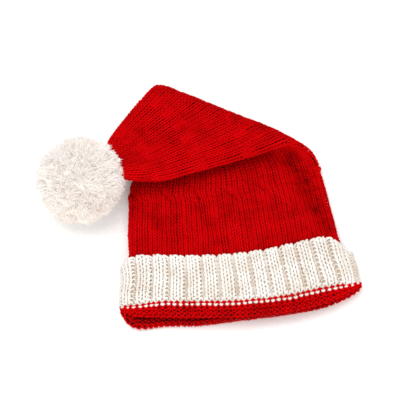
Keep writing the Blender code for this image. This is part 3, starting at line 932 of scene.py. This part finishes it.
def knit_turn_up(fabric, uneven, rng):
    """Bundle of the white courses, from the one at the colour change up to the cast-on edge."""
    turn_up = Bundle()
    last = CUFF_TOP + LAST_RIB_FROM_TOP * COURSE_HEIGHT
    rows = int(round((COLOUR_CHANGE - last) / CUFF_COURSE_HEIGHT))
    runs = COLOUR_CHANGE + (last - COLOUR_CHANGE) * np.arange(1, rows + 1) / rows
    valley = np.arange(STITCHES) % STITCHES_PER_RIB == 0
    for number, run in enumerate(runs):
        ribbed = float(ease((number + RIBS_START) / RIBS_OVER))
        edges = stitch_edges(0.0)[0] * (1 - ribbed) + ribbed_edges() * ribbed
        spacing, height = uneven.at(edges, run)
        edges = edges + CUFF_WALE_SHARE * WALE_UNEVEN / STITCHES * spacing
        stand = CUFF_STAND_SHARE * WALE_STAND * height
        signs = np.where(valley | (number == 0), 1.0, -1.0)
        kind = WHITE_EDGE if number == 0 else RIB_COURSE
        points, normals = course_path(fabric, run, edges, signs, stand, kind, rng)[:2]
        # Painted shade on the purl columns in the ribs' valleys, added to each yarn's random tone
        tone_and_shade = np.repeat(np.where(valley, VALLEY_PAINTED_SHADE * ribbed, 0.0), kind.steps * YARN_SIDES)
        strand = tube(points, normals, kind.radius, YARN_SIDES)
        turn_up.add(*strand, tone_and_shade + rng.normal(0.0, WHITE_UNEVEN))
    run = CUFF_TOP + CAST_ON_FROM_TOP * COURSE_HEIGHT
    signs = np.full(STITCHES, -1.0)
    flat = np.zeros(STITCHES)
    points, normals = course_path(fabric, run, ribbed_edges(), signs, flat, CAST_ON, rng)[:2]
    turn_up.add(*tube(points, normals, CAST_ON.radius, YARN_SIDES), 0.0)
    return turn_up


def knit_hat(fabric):
    """Every course of the hat, from the tip down to the hem and on up the turn-up to its cast-on edge."""
    rng = np.random.default_rng(KNITTING_SEED)
    uneven = Unevenness(COLUMN_SEED)
    red = wool("red_wool", RED_WOOL)
    white = wool("white_wool", WHITE_WOOL)
    bundles = knit_bag(fabric, uneven, rng)
    turn_up = knit_turn_up(fabric, uneven, rng)
    for stretch in STRETCHES:
        declare(bundles[stretch.name].piece(stretch.name, red), "crown")
    declare(turn_up.piece("cuff_rib", white), "cuff")


def backing_sheet(name, fabric, rows, behind, material):
    """Sheet behind the stitches along some rows of the fabric's grid."""
    columns = np.arange(0, fabric.COLUMNS, BACKING_COLUMNS)
    grid = fabric.points[rows][:, columns] + fabric.normals[rows][:, columns] * behind[:, None, None]
    rings, width = grid.shape[:2]
    verts = grid.reshape(-1, 3)
    verts[:, 2] = np.maximum(verts[:, 2], BACKING_FLOOR)
    return mesh_piece(name, verts, wrapped_faces(rings - 1, rings, width), material)


def backing(fabric):
    """Thin sheets behind the stitches, so that no light comes through between them, coloured as painted
    shade seen in the gaps between the stitches.
    """
    red = plain("red_gap_shade", RED_GAP_SHADE)
    white = plain("white_gap_shade", WHITE_GAP_SHADE)
    rows = np.arange(0, len(fabric.points), BACKING_ROWS)
    runs = fabric.start + rows * fabric.spacing
    behind = -BACKING_DEPTH * np.clip(runs / BACKING_TURN, -1.0, 1.0)
    in_bag = runs >= COLOUR_CHANGE - RED_BACKING_MORE
    in_cuff = (runs <= COLOUR_CHANGE + WHITE_BACKING_MORE) & (runs > CUFF_TOP + BACKING_BELOW_TOP)
    red_sheet = backing_sheet("crown_backing", fabric, rows[in_bag], behind[in_bag], red)
    declare(red_sheet, "crown")
    white_sheet = backing_sheet("cuff_backing", fabric, rows[in_cuff], behind[in_cuff], white)
    declare(white_sheet, "cuff")


def white_yarn():
    """Material of the pompom's yarn ends: thin wool that lets light through and scatters it many times,
    more often than the renderer follows it, which a faint glow makes up for."""
    yarn = wool("white_yarn", WHITE_YARN)
    nodes = yarn.node_tree.nodes
    links = yarn.node_tree.links
    shader = nodes["Principled BSDF"]
    shader.inputs["Emission Color"].default_value = (*YARN_GLOW_COLOUR, 1.0)
    shader.inputs["Emission Strength"].default_value = YARN_GLOW
    through = nodes.new("ShaderNodeBsdfTranslucent")
    through.inputs["Color"].default_value = (*YARN_LIGHT_THROUGH, 1.0)
    both = nodes.new("ShaderNodeMixShader")
    both.inputs["Fac"].default_value = YARN_THROUGH_SHARE
    links.new(shader.outputs[0], both.inputs[1])
    links.new(through.outputs[0], both.inputs[2])
    links.new(both.outputs[0], nodes["Material Output"].inputs["Surface"])
    return yarn


def even_directions(count):
    """Directions spread evenly over a ball, along a spiral from its top to its bottom."""
    i = np.arange(count) + 0.5
    polar = np.arccos(1 - 2 * i / count)
    circle = math.pi * (1 + 5**0.5) * i
    return np.stack([np.sin(polar) * np.cos(circle), np.sin(polar) * np.sin(circle), np.cos(polar)], -1)


def pompom():
    """Yarn ball: thousands of cut yarn ends standing out from the tied middle, gathered in soft tufts."""
    rng = np.random.default_rng(POMPOM_SEED)
    yarn = white_yarn()
    way = even_directions(YARN_ENDS)
    way = way + rng.normal(0, ROOT_SCATTER, way.shape)
    tufts = unit(rng.normal(0, 1, (TUFTS, 3)))
    nearest = np.argmax(way @ tufts.T, axis=1)
    pull = rng.uniform(TUFT_PULL_LEAST, TUFT_PULL_MOST, TUFTS)[nearest][:, None]
    swirl = rng.normal(0, TUFT_SWIRL, (TUFTS, 3))[nearest]
    scatter = rng.normal(0, TIP_SCATTER, way.shape)
    tip_way = unit(way * (1 - pull) + tufts[nearest] * pull + swirl + scatter)
    reach = TUFT_REACH + rng.normal(0, END_UNEVEN, YARN_ENDS)
    reach = reach + rng.uniform(TUFT_SHORTEST, TUFT_LONGEST, TUFTS)[nearest]
    stray = rng.uniform(0, 1, YARN_ENDS) > STRAY_FROM
    reach = reach + FULLER_REACH * (way @ FULLER_WAY) + STRAY_REACH * stray
    # Random tone of each tuft, with painted warm shade on the ends that face the front and down
    shade = rng.normal(0.0, TUFT_TINT, TUFTS)[nearest] - POMPOM_PAINTED_SHADE * ease(way @ POMPOM_SHADE_WAY - POMPOM_SHADE_FROM)
    shares = END_SHARES[:, None]
    for part, letter in enumerate("ab"):
        bundle = Bundle()
        for n in range(part, YARN_ENDS, 2):
            path = way[n] * ROOT_REACH * (1 - shares) + tip_way[n] * reach[n] * shares
            path = path + rng.normal(0, END_BEND, 3) * np.sin(shares * math.pi)
            path = path * POMPOM_RADII + POMPOM_CENTRE
            path[:, 2] = np.maximum(path[:, 2], END_FLOOR)
            normals = np.tile(np.cross(way[n], END_SQUARE_TO), (len(END_SHARES), 1))
            strand = tube(path, normals, END_THICKNESS, END_SIDES, closed=False)
            bundle.add(*strand, shade[n] + rng.normal(0.0, END_TINT))
        declare(bundle.piece("pompom_yarn_" + letter, yarn, smooth=False), "pompom")
    declare(pompom_middle(), "pompom")


def pompom_middle():
    """Ball inside the yarn ends, so that no light comes through between them."""
    mesh = bmesh.new()
    bmesh.ops.create_icosphere(mesh, subdivisions=MIDDLE_SUBDIVISIONS, radius=1.0)
    verts = np.array([vert.co[:] for vert in mesh.verts])
    verts = verts * POMPOM_RADII * MIDDLE_REACH + POMPOM_CENTRE
    faces = np.array([[vert.index for vert in face.verts] for face in mesh.faces])
    mesh.free()
    return mesh_piece("pompom_middle", verts, faces, plain("yarn_inner", YARN_INNER))


def camera():
    """Camera at the photograph's viewing angle."""
    data = bpy.data.cameras.new("camera")
    data.sensor_width = SENSOR
    data.lens = SENSOR * CAMERA_DISTANCE / FRAME_WIDTH
    data.clip_start = CAMERA_CLIP
    item = bpy.data.objects.new("camera", data)
    flat = math.cos(CAMERA_ELEVATION)
    across = math.sin(CAMERA_AZIMUTH) * flat
    near = -math.cos(CAMERA_AZIMUTH) * flat
    back = Vector((across, near, math.sin(CAMERA_ELEVATION)))
    item.location = CAMERA_AIM + back * CAMERA_DISTANCE
    item.rotation_euler = (-back).to_track_quat("-Z", "Y").to_euler()
    bpy.context.scene.collection.objects.link(item)
    bpy.context.scene.camera = item


def light(lamp):
    """Soft round lamp aimed at the origin."""
    data = bpy.data.lights.new(lamp.name, "AREA")
    data.energy = lamp.energy
    data.color = lamp.colour
    data.shape = "DISK"
    data.size = lamp.size
    item = bpy.data.objects.new(lamp.name, data)
    item.location = lamp.place
    item.rotation_euler = (-Vector(lamp.place)).to_track_quat("-Z", "Y").to_euler()
    bpy.context.scene.collection.objects.link(item)


def studio():
    """Pale floor, pale surroundings and the soft lamps."""
    half = FLOOR_HALF
    corners = np.array([[-half, -half, 0], [half, -half, 0], [half, half, 0], [-half, half, 0]])
    floor_look = plain("floor", FLOOR_COLOUR)
    floor = mesh_piece("floor", corners, np.array([[0, 1, 2, 3]]), floor_look, smooth=False)
    world = bpy.context.scene.world or bpy.data.worlds.new("world")
    bpy.context.scene.world = world
    world.use_nodes = True
    background = world.node_tree.nodes["Background"]
    background.inputs["Color"].default_value = (*WORLD_COLOUR, 1.0)
    background.inputs["Strength"].default_value = WORLD_STRENGTH
    for lamp in LAMPS:
        light(lamp)
    bpy.context.scene.view_settings.view_transform = "Standard"
    bpy.context.scene.view_settings.look = "None"


camera()
fabric = Fabric()
knit_hat(fabric)
backing(fabric)
pompom()
studio()
